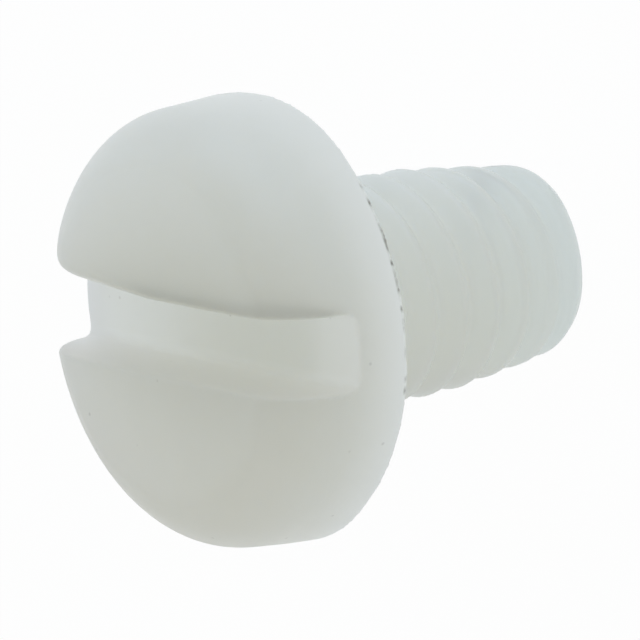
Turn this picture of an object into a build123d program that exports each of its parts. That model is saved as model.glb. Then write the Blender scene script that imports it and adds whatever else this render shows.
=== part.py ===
from build123d import *
import math
import os

# Slotted pan head screw, M4 x 6, moulded in one piece from natural polyamide.
#
# Frame: the screw's axis is Z. The bearing face under the head is the plane Z = 0,
# the head stands on its +Z side and the shank hangs on its -Z side. The driver slot
# runs along X. All sizes are in millimetres and degrees.

# ---------------------------------------------------------------- driving sizes

# Pan head
head_diameter = 7.85     # across the rim, at the bearing face
head_height = 2.36       # from the bearing face to the middle of the top
head_draft = 4.0         # how far the side leans in, so that it leaves the mould
head_edge_radius = 1.2   # rounding between the side and the top
crown_rise = 0.08        # how far the top is domed, over the width of the head
rim_edge_break = 0.04    # the almost sharp corner where the side meets the bearing face

# Driver slot
slot_width = 1.3
slot_depth = 1.38        # from the middle of the top to the floor
slot_root_radius = 0.16  # between the floor and the walls
slot_lip_radius = 0.14   # along both lips and round the open ends

# Shank
shank_length = 5.9       # from the bearing face to the tip
under_head_radius = 0.2  # fillet between the neck and the bearing face
neck_length = 1.1        # plain neck, before the grooves begin

# Thread, right-hand, with the basic profile of ISO metric threads
thread_diameter = 4.0    # over the crests, and over the plain neck
thread_pitch = 0.7
thread_angle = 60.0      # between the two flanks of a groove
thread_rise = 0.25       # how far above whole pitches a groove crosses the +X side
run_in_angle = 30.0      # slope of the cone on which the grooves fade into the neck

# Lead-in and nose at the tip
lead_length = 2.1        # over which the crests get lower towards the nose
lead_drop = 0.24         # how much lower they are, in radius, at its end
nose_height = 0.24       # slope between the lead-in and the flat end
nose_edge_radius = 0.12  # between the lead-in and the nose
tip_diameter = 3.2       # flat end face

# The groove cutter stands clear of the crests by this much
cutter_clearance = 0.04

# ------------------------------------------------------------- dependent sizes

head_radius = head_diameter / 2
head_lean = head_height * math.tan(math.radians(head_draft))
head_edge_z = head_height - crown_rise
slot_floor_z = head_height - slot_depth

crest_radius = thread_diameter / 2
crest_flat = thread_pitch / 8
root_flat = thread_pitch / 4
flank_slope = math.tan(math.radians(thread_angle / 2))
thread_depth = (thread_pitch - crest_flat - root_flat) / 2 / flank_slope
root_radius = crest_radius - thread_depth

tip_z = -shank_length
nose_z = tip_z + nose_height
lead_z = nose_z + lead_length
nose_radius = crest_radius - lead_drop
tip_radius = tip_diameter / 2

# ----------------------------------------------------- cutters for the grooves

# A groove is a trapezium: the root flat inside, widening along the two flanks until
# it is clear of the crests. One turn of it is swept, from the +X side up by a pitch.
groove_radius = crest_radius + cutter_clearance
groove_half_root = root_flat / 2
groove_half_mouth = groove_half_root + (groove_radius - root_radius) * flank_slope

with BuildPart() as groove_turn:
    with BuildLine() as groove_path:
        Helix(pitch=thread_pitch, height=thread_pitch, radius=root_radius)
    with BuildSketch(Plane.XZ) as groove_section:
        with BuildLine():
            Polyline(
                (root_radius, -groove_half_root),
                (groove_radius, -groove_half_mouth),
                (groove_radius, groove_half_mouth),
                (root_radius, groove_half_root),
                close=True,
            )
        make_face()
    sweep(path=groove_path.line, is_frenet=True)

# The neck stays plain. What a cutter holds above the run-in cone is taken from it, so
# that the thread gets shallower on its last turn and ends on the neck.
guard_radius = groove_radius + thread_pitch
guard_slope = 1 / math.tan(math.radians(run_in_angle))
guard_z = (guard_radius - crest_radius) * guard_slope - neck_length

with BuildPart() as neck_guard:
    with BuildSketch(Plane.XZ) as guard_section:
        with BuildLine():
            Polyline(
                (0, -crest_radius * guard_slope - neck_length),
                (guard_radius, guard_z),
                (guard_radius, guard_z + thread_pitch),
                (0, guard_z + thread_pitch),
                close=True,
            )
        make_face()
    revolve(axis=Axis.Z)

# Turns are counted down from the bearing face. The first that is cut is the one whose
# lower flank comes out of the neck, and the last is wholly past the tip.
neck_turns = (neck_length + thread_rise - groove_half_mouth) / thread_pitch
shank_turns = (shank_length + thread_rise + groove_half_mouth) / thread_pitch
first_turn = math.floor(neck_turns) + 1
last_turn = math.ceil(shank_turns)

groove_cutters = []
for turn in range(first_turn, last_turn + 1):
    with BuildPart() as groove:
        with Locations((0, 0, thread_rise - turn * thread_pitch)):
            add(groove_turn.part)
        add(neck_guard.part, mode=Mode.SUBTRACT)
    groove_cutters.append(groove.part)

# ------------------------------------------------------------------- the screw

rim_corner = (head_radius, 0)
top_corner = (head_radius - head_lean, head_edge_z)
neck_corner = (crest_radius, 0)
nose_corner = (nose_radius, nose_z)
tip_corner = (tip_radius, tip_z)

with BuildPart() as screw:
    # Head and shank in one turn: down the axis, out along the tip, up the nose, the
    # lead-in and the crests, out along the bearing face, up the side, over the crown.
    with BuildSketch(Plane.XZ) as half_section:
        with BuildLine():
            Polyline(
                (0, head_height),
                (0, tip_z),
                tip_corner,
                nose_corner,
                (crest_radius, lead_z),
                neck_corner,
                rim_corner,
                top_corner,
            )
            TangentArc((0, head_height), top_corner, tangent=(1, 0))
        make_face()
        for corner, radius in (
            (top_corner, head_edge_radius),
            (neck_corner, under_head_radius),
            (nose_corner, nose_edge_radius),
        ):
            fillet(half_section.vertices().sort_by_distance(corner)[0], radius)
        chamfer(half_section.vertices().sort_by_distance(rim_corner)[0], rim_edge_break)
    revolve(axis=Axis.Z)

    # Driver slot, open at both sides of the head, and rounded all along its edge.
    with BuildSketch(Plane.YZ) as slot_section:
        with Locations((0, slot_floor_z)):
            Rectangle(slot_width, head_height, align=(Align.CENTER, Align.MIN))
        fillet(slot_section.vertices().group_by(Axis.Y)[0], slot_root_radius)
    extrude(amount=head_diameter, both=True, mode=Mode.SUBTRACT)
    fillet(screw.edges(Select.NEW), radius=slot_lip_radius)

    # Thread.
    for cutter in groove_cutters:
        add(cutter, mode=Mode.SUBTRACT)

screw.part.label = "screw"
os.makedirs("parts", exist_ok=True)
export_step(screw.part, "parts/screw.step")
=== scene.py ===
# %% [markdown]
# # A slotted pan head screw in natural polyamide
#
# The object is a small machine screw, moulded in one piece from undyed polyamide
# (nylon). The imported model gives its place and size. This lesson models the same
# screw again as one soft-edged mesh, gives it a milky finish that light soaks into,
# and stands it on a lit opal sheet among three soft lamps.

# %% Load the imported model
import math

import bmesh
import bpy
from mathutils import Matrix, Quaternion, Vector


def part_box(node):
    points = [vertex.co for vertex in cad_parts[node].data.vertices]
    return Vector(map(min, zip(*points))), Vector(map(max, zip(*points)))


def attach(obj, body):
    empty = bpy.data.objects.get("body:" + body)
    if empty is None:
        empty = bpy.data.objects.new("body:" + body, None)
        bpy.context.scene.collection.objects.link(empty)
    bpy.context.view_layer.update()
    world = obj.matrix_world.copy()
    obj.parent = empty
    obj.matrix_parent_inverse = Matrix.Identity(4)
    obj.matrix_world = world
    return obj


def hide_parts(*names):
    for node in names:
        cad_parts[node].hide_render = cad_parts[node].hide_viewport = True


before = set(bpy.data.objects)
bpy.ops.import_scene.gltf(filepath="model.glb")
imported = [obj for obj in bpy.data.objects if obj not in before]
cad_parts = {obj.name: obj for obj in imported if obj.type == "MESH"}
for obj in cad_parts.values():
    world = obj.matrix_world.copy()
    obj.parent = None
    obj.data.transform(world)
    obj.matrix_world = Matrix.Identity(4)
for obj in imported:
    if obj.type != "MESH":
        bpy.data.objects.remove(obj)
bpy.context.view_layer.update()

MM = 0.001
low, high = (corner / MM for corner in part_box("screw"))
print("screw box in mm:", [round(v, 3) for v in (*low, *high)])

# %% [markdown]
# ## Work in millimetres
#
# The screw is only 8 mm across, and Blender's remesher can't go below a tenth of a
# millimetre when a unit is a metre. So the mesh is built with one unit to the
# millimetre and shrunk to metres at the end. The bearing face under the head is at
# height zero. The head is above it and the shank hangs below.

# %% Sizes of the moulding
HEAD_RADIUS = min(-low.x, -low.y, high.x, high.y)
HEAD_HEIGHT = 2.36
HEAD_DRAFT = math.radians(4.0)
HEAD_EDGE_RADIUS = 1.2
CROWN_RISE = 0.08

CREST_RADIUS = 2.0
TIP_Z = low.z
LEAD_LENGTH = 2.1
LEAD_DROP = 0.24
NOSE_HEIGHT = 0.24
TIP_RADIUS = 1.6
UNDER_HEAD_RADIUS = 0.2

# %% [markdown]
# ## The blank: one outline turned round the axis
#
# The mould of such a screw is turned on a lathe, so its form is an outline spun round
# the axis. It could also be put together from cylinders and cones, but one outline
# keeps every face in line with the next. It is drawn with sharp corners first. Then a
# vertex bevel rounds the corners that are round on the moulding.

# %% Draw the outline with corners
edge_z = HEAD_HEIGHT - CROWN_RISE
edge_r = HEAD_RADIUS - edge_z * math.tan(HEAD_DRAFT)
nose_z = TIP_Z + NOSE_HEIGHT
lead_z = nose_z + LEAD_LENGTH
nose_r = CREST_RADIUS - LEAD_DROP

head_corner = (edge_r, edge_z)
neck_corner = (CREST_RADIUS, 0)
corners = [
    (0, HEAD_HEIGHT),
    head_corner,
    (HEAD_RADIUS, 0),
    neck_corner,
    (CREST_RADIUS, lead_z),
    (nose_r, nose_z),
    (TIP_RADIUS, TIP_Z),
    (0, TIP_Z),
]
blank = bmesh.new()
points = [blank.verts.new((r, 0, z)) for r, z in corners]
for pair in zip(points, points[1:]):
    blank.edges.new(pair)

# %% Round the corners
HEAD_EDGE_SEGMENTS = 24
UNDER_HEAD_SEGMENTS = 6


def round_corner(mesh, corner, radius, segments):
    """Rounds one corner of the outline to an arc of this radius."""
    arms = [edge.other_vert(corner).co - corner.co for edge in corner.link_edges]
    half_turn = (math.pi - arms[0].angle(arms[1])) / 2
    bmesh.ops.bevel(
        mesh, geom=[corner], offset=radius * math.tan(half_turn), affect="VERTICES",
        segments=segments, profile=0.5, material=-1,
    )


head_point = points[corners.index(head_corner)]
neck_point = points[corners.index(neck_corner)]
round_corner(blank, head_point, HEAD_EDGE_RADIUS, HEAD_EDGE_SEGMENTS)
round_corner(blank, neck_point, UNDER_HEAD_RADIUS, UNDER_HEAD_SEGMENTS)

# %% Cut the long sides into short rows, and dome the top
ROW = 0.035

for edge in list(blank.edges):
    cuts = int(edge.calc_length() / ROW)
    if cuts:
        bmesh.ops.subdivide_edges(blank, edges=[edge], cuts=cuts)
for vert in blank.verts:
    if vert.co.z > edge_z - ROW:
        vert.co.z -= CROWN_RISE * ((vert.co.x / edge_r) ** 2 - vert.co.x / edge_r)
print("outline:", len(blank.verts), "points")

# %% Spin it
COLUMNS = 240
SAME_PLACE = ROW / 20

bmesh.ops.spin(
    blank, geom=blank.verts[:] + blank.edges[:], cent=(0, 0, 0), axis=(0, 0, 1),
    angle=2 * math.pi, steps=COLUMNS, use_merge=True,
)
bmesh.ops.remove_doubles(blank, verts=blank.verts, dist=SAME_PLACE)
bmesh.ops.recalc_face_normals(blank, faces=blank.faces)
print("blank:", len(blank.faces), "faces,", round(blank.calc_volume(), 1), "mm3")
print("open edges:", sum(not edge.is_manifold for edge in blank.edges))

# %% [markdown]
# ## The thread
#
# A metric thread is a V-shaped groove of 60 degrees that climbs one pitch in a turn.
# It could be a swept tube cut away with a boolean, but the spun mesh already has close
# rows and columns. So each of its vertices is simply moved inwards to the groove's
# surface, where the groove is deeper than the blank. Moulded crests and roots are
# never sharp, so the steps between the surfaces are eased with a soft minimum.

# %% Groove depth at any place on the shank
PITCH = 0.7
THREAD_RISE = 0.25
THREAD_ANGLE = 60.0
FLANK_SLOPE = math.tan(math.radians(THREAD_ANGLE / 2))
CREST_FLAT = PITCH / 8
ROOT_FLAT = PITCH / 4
THREAD_DEPTH = (PITCH - CREST_FLAT - ROOT_FLAT) / 2 / FLANK_SLOPE
NECK_LENGTH = 1.1
RUN_IN_ANGLE = 30.0
RUN_IN_SLOPE = math.tan(math.radians(RUN_IN_ANGLE))
ROOT_EASE = 0.12
CREST_EASE = 0.07


def soft_min(a, b, ease):
    """The lesser of two numbers, with the corner between them rounded."""
    mix = max(ease - abs(a - b), 0) / ease
    return min(a, b) - mix * mix * ease / 4


def groove_radius(turn, z):
    """How far from the axis the groove's surface is, at a turn from +X and a height."""
    climb = (z - THREAD_RISE) / PITCH - turn / (2 * math.pi)
    from_centre = abs(climb - round(climb)) * PITCH
    flank = (from_centre - ROOT_FLAT / 2) / FLANK_SLOPE
    root = CREST_RADIUS - THREAD_DEPTH
    surface = root - soft_min(0, -flank, ROOT_EASE)
    run_in = CREST_RADIUS + (z + NECK_LENGTH) * RUN_IN_SLOPE
    return -soft_min(-surface, -run_in, CREST_EASE)


# %% Cut the thread
# The middle of the end face stays as it is: only what is further out is moved.
MIDDLE_OF_END = TIP_RADIUS / 2

for vert in blank.verts:
    if TIP_Z - ROW < vert.co.z < -UNDER_HEAD_RADIUS:
        radius = math.hypot(vert.co.x, vert.co.y)
        turn = math.atan2(vert.co.y, vert.co.x)
        if radius > MIDDLE_OF_END:
            cut_to = soft_min(radius, groove_radius(turn, vert.co.z), CREST_EASE)
            vert.co.xy *= cut_to / radius
print("with its thread:", round(blank.calc_volume(), 1), "mm3")

# %% [markdown]
# ## Never quite true
#
# A soft plastic comes out of its mould a few hundredths of a millimetre out of true.
# The rim of this one stands a little proud at both sides of the slot, and so do the
# neck and the nose. One side of the shank is proud near the head, comes true further
# down, and is a little sunk at the nose. Cutting each bulge with a tool would leave an
# edge round it, so the vertices are moved by smooth bumps instead.

# %% Smooth bumps


def lobe(turn, middle, width):
    """A smooth bump round one direction, both in degrees, from 0 up to 1."""
    off = (math.degrees(turn) - middle + 180) % 360 - 180
    return math.exp(-((off / width) ** 2))


def bumps(turn, places):
    """Several lobes added up, each given by its middle, its width and its height."""
    return sum(height * lobe(turn, middle, width) for middle, width, height in places)


def smooth_step(value, start, end):
    """Rises smoothly from 0 at start to 1 at end."""
    t = min(max((value - start) / (end - start), 0), 1)
    return t * t * (3 - 2 * t)


# %% The rim out of round
# The bumps are full on the lower side of the head, and gone before its top and well
# inside its rim. Each has its middle and its width in degrees, and its height.
RIM_PROUD = 0.065
RIM_BUMPS = ((62, 20, 1), (-66, 15, 1), (98, 12, -0.45))
RIM_FULL_UP_TO = 0.4
RIM_GONE_AT = HEAD_HEIGHT - 0.6
RIM_STARTS_AT = 0.6 * HEAD_RADIUS

for vert in blank.verts:
    if vert.co.z > -ROW:
        turn = math.atan2(vert.co.y, vert.co.x)
        radius = math.hypot(vert.co.x, vert.co.y)
        near_rim = 1 - smooth_step(vert.co.z, RIM_FULL_UP_TO, RIM_GONE_AT)
        outer = smooth_step(radius, RIM_STARTS_AT, HEAD_RADIUS)
        proud = bumps(turn, RIM_BUMPS)
        vert.co.xy *= 1 + RIM_PROUD * proud * near_rim * outer / HEAD_RADIUS

# %% The shank out of round
# The neck's swelling and the two narrowings of the proud side each run from one depth
# under the bearing face to another. The last narrowing goes past true, by its share.
NECK_PROUD = 0.03
NECK_SWELLING = (NECK_LENGTH, 2.5 * NECK_LENGTH)
ONE_SIDE_PROUD = 0.055
PROUD_SIDE = (104, 40)
FIRST_NARROWING = (2.6, 4.8)
LAST_NARROWING = (5.0, 5.6)
LAST_SHARE = 0.6
NOSE_PROUD = 0.08
NOSE_BUMPS = ((60, 26, 1), (-25, 20, 0.3))
NOSE_STARTS_AT = nose_z + 2 * NOSE_HEIGHT

for vert in blank.verts:
    if vert.co.z <= -ROW:
        turn = math.atan2(vert.co.y, vert.co.x)
        depth = -vert.co.z
        swell = 1 - smooth_step(depth, *NECK_SWELLING)
        vert.co.xy *= 1 + NECK_PROUD * swell / CREST_RADIUS
        last = LAST_SHARE * smooth_step(depth, *LAST_NARROWING)
        narrowing = smooth_step(depth, *FIRST_NARROWING) + last
        one_side = ONE_SIDE_PROUD * lobe(turn, *PROUD_SIDE) * (1 - narrowing)
        vert.co.xy *= 1 + one_side / CREST_RADIUS
        near_nose = smooth_step(vert.co.z, NOSE_STARTS_AT, nose_z)
        proud = bumps(turn, NOSE_BUMPS)
        vert.co.xy *= 1 + NOSE_PROUD * proud * near_nose / TIP_RADIUS
print("out of round:", round(blank.calc_volume(), 1), "mm3")

# %% [markdown]
# ## The driver slot
#
# The slot is a straight channel right across the head, with a flat floor and small
# rounded corners at its foot. A boolean cuts it with a bar of the same section. The
# bar starts as a cube, and a bevel rounds its two lower edges.

# %% Make the bar
SLOT_WIDTH = 1.3
SLOT_DEPTH = 1.38
SLOT_ROOT_RADIUS = 0.16
SLOT_ROOT_SEGMENTS = 8
BAR_LENGTH = 4 * HEAD_RADIUS

# A unit cube is lifted onto its foot, stretched, and lifted to the slot's floor.
slot_floor = HEAD_HEIGHT - SLOT_DEPTH
bar = bmesh.new()
bmesh.ops.create_cube(bar, size=1)
bmesh.ops.translate(bar, verts=bar.verts, vec=(0, 0, 1 / 2))
bmesh.ops.scale(bar, verts=bar.verts, vec=(BAR_LENGTH, SLOT_WIDTH, HEAD_HEIGHT))
bmesh.ops.translate(bar, verts=bar.verts, vec=(0, 0, slot_floor))
feet = [
    edge for edge in bar.edges
    if abs(edge.verts[0].co.x - edge.verts[1].co.x) > HEAD_RADIUS
    and edge.verts[0].co.z < HEAD_HEIGHT
]
bmesh.ops.bevel(
    bar, geom=feet, offset=SLOT_ROOT_RADIUS, affect="EDGES",
    segments=SLOT_ROOT_SEGMENTS, profile=0.5, material=-1,
)
print("bar:", len(feet), "edges rounded")

# %% Put both meshes into objects, and cut


def make_object(name, mesh):
    """Puts a finished bmesh into a new object of the scene."""
    data = bpy.data.meshes.new(name)
    mesh.to_mesh(data)
    mesh.free()
    made = bpy.data.objects.new(name, data)
    bpy.context.collection.objects.link(made)
    return made


def add_modifier(piece, kind, **settings):
    """Adds one modifier with its settings."""
    modifier = piece.modifiers.new(kind, kind)
    for setting, value in settings.items():
        setattr(modifier, setting, value)


def apply_modifiers(piece):
    """Makes what the modifiers show the piece's own mesh."""
    graph = bpy.context.evaluated_depsgraph_get()
    shown = bpy.data.meshes.new_from_object(piece.evaluated_get(graph))
    piece.modifiers.clear()
    piece.data = shown


screw = make_object("moulded_screw", blank)
slot_bar = make_object("slot_bar", bar)
add_modifier(screw, "BOOLEAN", operation="DIFFERENCE", object=slot_bar, solver="EXACT")

# %% [markdown]
# ## Soft edges all over
#
# A boolean leaves knife edges, which no moulding has. A bevel would need clean edge
# loops, and the cut has none. So the mesh is remade from small equal voxels and then
# smoothed, which wears every edge down by about the same small radius.

# %% Remesh, smooth
VOXEL = 0.04
SMOOTH_FACTOR = 0.5
SMOOTH_PASSES = 8

add_modifier(screw, "REMESH", mode="VOXEL", voxel_size=VOXEL)
add_modifier(screw, "SMOOTH", factor=SMOOTH_FACTOR, iterations=SMOOTH_PASSES)
apply_modifiers(screw)
bpy.data.objects.remove(slot_bar)
print("remeshed:", len(screw.data.polygons), "faces")

# %% [markdown]
# ## A worn lip
#
# The screwdriver has pushed on one lip of the slot, and it is rounder there towards
# its end. Many passes of smoothing, weighted by a vertex group, wear a mesh down just
# as use does: most where the group is strongest, and not at all where it is zero.

# %% Wear the lip
# The head's outside is a side and a top joined by an arc, so how deep a place lies
# under it is measured from the middle of that arc.
WORN_REACH = 1.1
WORN_PASSES = 620
PUSHED_OUT = 0.07

worn = screw.vertex_groups.new(name="worn_lip")
for vert in screw.data.vertices:
    x, y, z = vert.co
    outside = math.hypot(x, y) - edge_r + HEAD_EDGE_RADIUS
    above = z - edge_z + HEAD_EDGE_RADIUS
    depth = HEAD_EDGE_RADIUS - math.hypot(max(outside, 0), max(above, 0))
    from_lip = math.hypot(y - SLOT_WIDTH / 2, max(depth, 0))
    towards_end = smooth_step(-x, 0, HEAD_RADIUS)
    strength = (1 - smooth_step(from_lip, 0, WORN_REACH)) * towards_end
    if strength > 0 and z > slot_floor:
        worn.add([vert.index], strength, "REPLACE")
        vert.co.y += PUSHED_OUT * strength
add_modifier(
    screw, "SMOOTH", factor=SMOOTH_FACTOR, iterations=WORN_PASSES, vertex_group=worn.name,
)
apply_modifiers(screw)
print("worn:", len(screw.data.vertices), "vertices")

# %% [markdown]
# ## Fewer triangles
#
# Voxels as fine as the smallest radius make far more faces than the flat parts need.
# Decimate merges the edges that change the shape least, so the flat parts pay for it
# and the thread and the lips keep their detail.

# %% Decimate
FACES_KEPT = 0.48

add_modifier(screw, "DECIMATE", ratio=FACES_KEPT, use_collapse_triangulate=True)
apply_modifiers(screw)
print("after decimating:", len(screw.data.polygons), "triangles")

# %% [markdown]
# ## Dark dashes along the rim
#
# Along the lower edge of the head, on one side only, the colour has short dark grey
# dashes. In the editor one would paint them as a vertex colour. Here every vertex gets
# one number, how strong the dashes are on its side of the rim, and the material reads
# that number back.

# %% Mark the dark dashes along the rim
# Each mark has its middle, from +X, its width, both in degrees, and its strength.
DASHES = ((41, 1, 0.5), (36, 1.6, 0.9), (26, 6, 0.8), (16, 4, 0.6), (5, 2, 0.5), (-2, 2, 0.35))
DOTS = ((20.2, 0.9, 1), (13.5, 0.8, 0.8), (8.7, 0.8, 0.8), (-9, 0.8, 0.5), (-12, 1, 0.7))
RIM_FROM = HEAD_RADIUS - 2 * VOXEL

dark = screw.data.attributes.new("rim_dark_marks", "FLOAT", "POINT")
for vert in screw.data.vertices:
    turn = math.atan2(vert.co.y, vert.co.x)
    marks = [strength * lobe(turn, middle, width) for middle, width, strength in DASHES + DOTS]
    if math.hypot(vert.co.x, vert.co.y) > RIM_FROM:
        dark.data[vert.index].value = max(marks)
print("grime marks:", len(DASHES + DOTS))

# %% Shrink to metres
skin = bmesh.new()
skin.from_mesh(screw.data)
bmesh.ops.scale(skin, verts=skin.verts, vec=(MM, MM, MM))
for face in skin.faces:
    face.smooth = True
skin.to_mesh(screw.data)
skin.free()
screw.data.calc_loop_triangles()
print("triangles:", len(screw.data.loop_triangles))

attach(screw, "root")
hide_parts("screw")

# %% [markdown]
# ## Material: moulded natural polyamide
#
# Undyed polyamide is milky. Light goes in, is scattered right through a part this
# small and comes out again at every side. So the floor of the slot and the grooves of
# the thread are hardly darker than the open faces. The skin takes a satin sheen from
# the mould. A plain diffuse colour would look like chalk, so the Principled shader's
# subsurface inputs do this.

# %% Helpers for materials
# A Mix node has a set of sockets for each kind of value. Its two colours and its
# mixed colour stand at these places among its inputs and outputs.
COLOUR_A, COLOUR_B, COLOUR_OUT = 6, 7, 2


def linear(hex_colour):
    """An sRGB hex colour as the linear numbers that shaders use."""
    parts = [int(hex_colour[i:i + 2], 16) / 255 for i in (1, 3, 5)]
    parts = [v / 12.92 if v <= 0.04045 else ((v + 0.055) / 1.055) ** 2.4 for v in parts]
    return (*parts, 1)


def add_node(tree, kind, settings=None, values=None, links=None):
    """Adds a node. Settings are its options, values its sockets, links what feeds them."""
    node = tree.nodes.new(kind)
    for name, value in (settings or {}).items():
        setattr(node, name, value)
    for name, value in (values or {}).items():
        node.inputs[name].default_value = value
    for name, source in (links or {}).items():
        tree.links.new(source, node.inputs[name])
    return node


def combine(tree, operation, first, second):
    """Puts two outputs, or an output and a number, through a Math node."""
    number = isinstance(second, float)
    values = {1: second} if number else {}
    links = {0: first} if number else {0: first, 1: second}
    return add_node(
        tree, "ShaderNodeMath", {"operation": operation}, values, links,
    ).outputs[0]


def new_tree(name):
    """A new material with an empty node tree."""
    material = bpy.data.materials.new(name)
    material.use_nodes = True
    material.node_tree.nodes.clear()
    return material, material.node_tree


# %% Cloudy colour
# The granules don't melt together quite evenly: clouds about a millimetre and a half
# across, one step lighter or darker. The eye takes them for depth.
CLOUD = 1.5

polyamide, tree = new_tree("moulded_natural_polyamide")
place = add_node(tree, "ShaderNodeTexCoord").outputs["Object"]
cloud = add_node(
    tree, "ShaderNodeTexNoise",
    values={"Scale": 1 / (CLOUD * MM), "Detail": 3}, links={"Vector": place},
)
tint = add_node(
    tree, "ShaderNodeMix", {"data_type": "RGBA"},
    values={COLOUR_A: linear("#DCDFD4"), COLOUR_B: linear("#E3E6DC")},
    links={"Factor": cloud.outputs["Fac"]},
)

# %% Dark dash mask
# Dashes along the lower edge of the head, as wide as a hair is thick, broken up by noise
# of about that size. The band fades out over its upper part.
DASH_HEIGHT = 0.075
BAND_GONE = 1.2 * DASH_HEIGHT
BAND_FULL = 0.7 * DASH_HEIGHT
BREAK_UP_SIZE = 0.12

height = add_node(tree, "ShaderNodeSeparateXYZ", links={"Vector": place}).outputs["Z"]
band = add_node(
    tree, "ShaderNodeMapRange", {"interpolation_type": "SMOOTHSTEP"},
    values={"From Min": BAND_GONE * MM, "From Max": BAND_FULL * MM},
    links={"Value": height},
)
break_up = add_node(
    tree, "ShaderNodeTexNoise",
    values={"Scale": 1 / (BREAK_UP_SIZE * MM), "Detail": 2}, links={"Vector": place},
)
patchy = add_node(
    tree, "ShaderNodeMapRange",
    values={"From Min": 0.1, "From Max": 0.5}, links={"Value": break_up.outputs["Fac"]},
)
painted = add_node(tree, "ShaderNodeAttribute", {"attribute_name": "rim_dark_marks"})
in_band = combine(tree, "MULTIPLY", painted.outputs["Fac"], band.outputs["Result"])
dashes = combine(tree, "MULTIPLY", in_band, patchy.outputs["Result"])

# %% Specks
# A few faint specks of dust, pressed into the skin: small balls round the middles of
# Voronoi cells, and only in the cells that drew a high number. A cell is as wide as
# the gap, in millimetres, and a speck's edge and core are shares of that.
SPECK_GAP = 0.35
SPECK_EDGE = 0.12
SPECK_CORE = 0.04
SPECK_STRENGTH = 0.22
DRAW_ABOVE = 0.85

cells = add_node(
    tree, "ShaderNodeTexVoronoi",
    values={"Scale": 1 / (SPECK_GAP * MM)}, links={"Vector": place},
)
near_middle = add_node(
    tree, "ShaderNodeMapRange",
    values={"From Min": SPECK_EDGE, "From Max": SPECK_CORE, "To Max": SPECK_STRENGTH},
    links={"Value": cells.outputs["Distance"]},
)
drawn = add_node(tree, "ShaderNodeSeparateColor", links={"Color": cells.outputs["Color"]})
chosen = combine(tree, "GREATER_THAN", drawn.outputs["Red"], DRAW_ABOVE)
specks = combine(tree, "MULTIPLY", near_middle.outputs["Result"], chosen)
# The dark dashes along the rim and the specks of dust, together.
dark_marks = combine(tree, "MAXIMUM", dashes, specks)

# %% Skin
# The mould was spark-eroded, which leaves a grain of about a tenth of a millimetre
# and a sheen that changes a little from place to place. The dark marks are grey and dull.
GRAIN = 0.12
GRAIN_DEPTH = 0.01
MARK_ROUGHNESS = 0.8

grain = add_node(
    tree, "ShaderNodeTexNoise",
    values={"Scale": 1 / (GRAIN * MM), "Detail": 4}, links={"Vector": place},
)
grain_bump = add_node(
    tree, "ShaderNodeBump", values={"Strength": 0.15, "Distance": GRAIN_DEPTH * MM},
    links={"Height": grain.outputs["Fac"]},
)
sheen = add_node(
    tree, "ShaderNodeMapRange", values={"To Min": 0.4, "To Max": 0.52},
    links={"Value": cloud.outputs["Fac"]},
)
dulled = add_node(
    tree, "ShaderNodeMix", {"data_type": "FLOAT"}, values={"B": MARK_ROUGHNESS},
    links={"Factor": dark_marks, "A": sheen.outputs["Result"]},
)
coloured = add_node(
    tree, "ShaderNodeMix", {"data_type": "RGBA"},
    values={COLOUR_B: linear("#56544A")},
    links={"Factor": dark_marks, COLOUR_A: tint.outputs[COLOUR_OUT]},
)

# %% Shader
# Light wanders further than the screw is long before it leaves, red a little further
# than blue. The dark marks let almost none of it in.
WANDERS = 24.0

milky = add_node(
    tree, "ShaderNodeMapRange", values={"To Min": 1.0, "To Max": 0.1}, links={"Value": dark_marks},
)
body = add_node(
    tree, "ShaderNodeBsdfPrincipled",
    values={
        "IOR": 1.53,
        "Subsurface Radius": (1.0, 0.9, 0.75),
        "Subsurface Scale": WANDERS * MM,
    },
    links={
        "Base Color": coloured.outputs[COLOUR_OUT],
        "Roughness": dulled.outputs[0],
        "Subsurface Weight": milky.outputs["Result"],
        "Normal": grain_bump.outputs["Normal"],
    },
)
add_node(
    tree, "ShaderNodeOutputMaterial", links={"Surface": body.outputs["BSDF"]},
)
screw.data.materials.append(polyamide)

# %% [markdown]
# ## Floor, light and camera
#
# Small milky parts are often shown on a sheet of opal acrylic with a lamp under it.
# The sheet fills the shadows from below, and soft lamps round the part give its sides
# a gentle fall of brightness. Point lamps would be simpler, but they leave hard bright
# dots on a satin skin. The camera has a long lens, so that the shank's far end is not
# much smaller than the head.

# %% Floor
# It reaches a metre each way, so that its edges are far out of sight.
FLOOR_REACH = 1

bench = bmesh.new()
bmesh.ops.create_grid(bench, size=FLOOR_REACH)
bmesh.ops.translate(bench, verts=bench.verts, vec=(0, 0, TIP_Z * MM))
floor = make_object("floor", bench)

# %% Opal sheet
# It throws light back up as paper does, and adds a little of its own, so the foot of
# the screw isn't dark. Seen directly, in a reflection or through something clear it
# is almost pure white, with a trace of the screw's shadow.
UNDER_LIGHT = 0.33
SEEN_WHITE = 0.95

opal, tree = new_tree("matt_opal_sheet")
matt = add_node(tree, "ShaderNodeBsdfDiffuse", values={"Color": linear("#F0F0F0")})
lit_below = add_node(
    tree, "ShaderNodeEmission", values={"Color": linear("#ECF6FF"), "Strength": UNDER_LIGHT},
)
lit_sheet = add_node(
    tree, "ShaderNodeAddShader", links={0: matt.outputs[0], 1: lit_below.outputs[0]},
)
white = add_node(tree, "ShaderNodeEmission", values={"Color": (1, 1, 1, 1)})
ray = add_node(tree, "ShaderNodeLightPath").outputs
plain_sight = combine(tree, "MAXIMUM", ray["Is Camera Ray"], ray["Is Glossy Ray"])
seen = combine(tree, "MAXIMUM", plain_sight, ray["Is Transmission Ray"])
mostly = combine(tree, "MULTIPLY", seen, SEEN_WHITE)
both = add_node(
    tree, "ShaderNodeMixShader",
    links={0: mostly, 1: lit_sheet.outputs[0], 2: white.outputs[0]},
)
add_node(tree, "ShaderNodeOutputMaterial", links={"Surface": both.outputs[0]})
floor.data.materials.append(opal)

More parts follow.
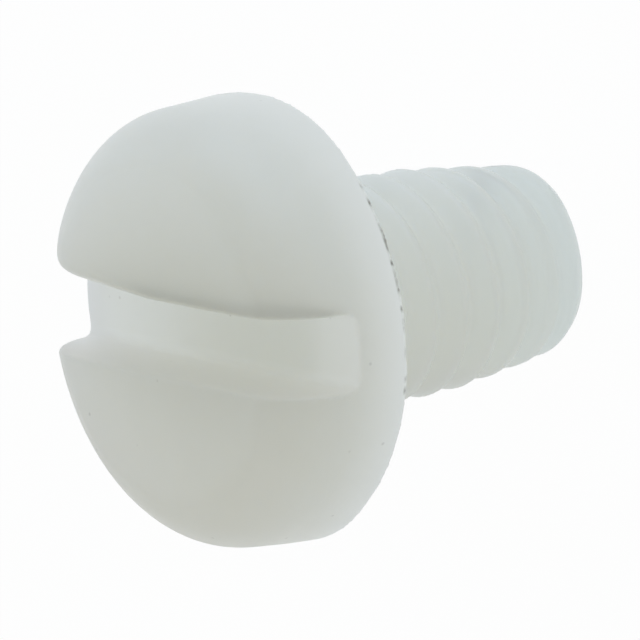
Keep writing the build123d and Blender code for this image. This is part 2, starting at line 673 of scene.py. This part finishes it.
# %% World
# The room's walls give an even, slightly warm light from all round.
ROOM_LIGHT = 0.42

world = bpy.data.worlds.new("studio")
world.use_nodes = True
room = world.node_tree.nodes["Background"].inputs
room["Color"].default_value = linear("#FEFBED")
room["Strength"].default_value = ROOM_LIGHT
bpy.context.scene.world = world

# %% Lamps
# Three square softboxes, all at the same distance from the screw: a strong cool one
# like a window, a weaker one behind and a faint white one in front. Their size and
# distance are in millimetres and their power is in watts.
SOFTBOX_SIZE = 60
SOFTBOX_DISTANCE = 60


def add_softbox(name, direction, power, colour):
    """A square lamp that looks at the middle of the bearing face."""
    lamp = bpy.data.lights.new(name, "AREA")
    lamp.size = SOFTBOX_SIZE * MM
    lamp.energy = power
    lamp.color = linear(colour)[:3]
    holder = bpy.data.objects.new(name, lamp)
    towards = Vector(direction).normalized()
    holder.location = towards * SOFTBOX_DISTANCE * MM
    holder.rotation_mode = "QUATERNION"
    holder.rotation_quaternion = towards.to_track_quat("Z", "Y")
    holder.visible_camera = False
    bpy.context.collection.objects.link(holder)


add_softbox("window_softbox", (0, 1, 0.25), power=0.0110, colour="#C4DEFF")
add_softbox("back_softbox", (-1, 0.1, 0.5), power=0.0050, colour="#CFE4FF")
add_softbox("front_softbox", (1, 0, 0.05), power=0.0020, colour="#FFFFFF")

# %% Camera
# It looks down on the head from the +X side and is rolled until the shank points
# to the right. Lengths are in millimetres and angles in degrees.
FOCAL_LENGTH = 309.3
SENSOR_WIDTH = 36
NEAREST_SEEN = 1
CAMERA_AZIMUTH = 14.49
CAMERA_ELEVATION = 36.89
CAMERA_ROLL = -102.21
CAMERA_DISTANCE = 95.86
AIM = Vector((-0.21, -0.35, -1.38))

camera_data = bpy.data.cameras.new("camera")
camera_data.lens = FOCAL_LENGTH
camera_data.sensor_width = SENSOR_WIDTH
camera_data.clip_start = NEAREST_SEEN * MM
camera = bpy.data.objects.new("camera", camera_data)
azimuth = math.radians(CAMERA_AZIMUTH)
elevation = math.radians(CAMERA_ELEVATION)
roll = math.radians(CAMERA_ROLL)
towards = Vector((
    math.cos(elevation) * math.cos(azimuth),
    math.cos(elevation) * math.sin(azimuth),
    math.sin(elevation),
))
camera.location = (AIM + towards * CAMERA_DISTANCE) * MM
camera.rotation_mode = "QUATERNION"
camera.rotation_quaternion = (
    towards.to_track_quat("Z", "Y") @ Quaternion((0, 0, 1), roll)
)
bpy.context.collection.objects.link(camera)
bpy.context.scene.camera = camera
bpy.context.scene.view_settings.view_transform = "Standard"
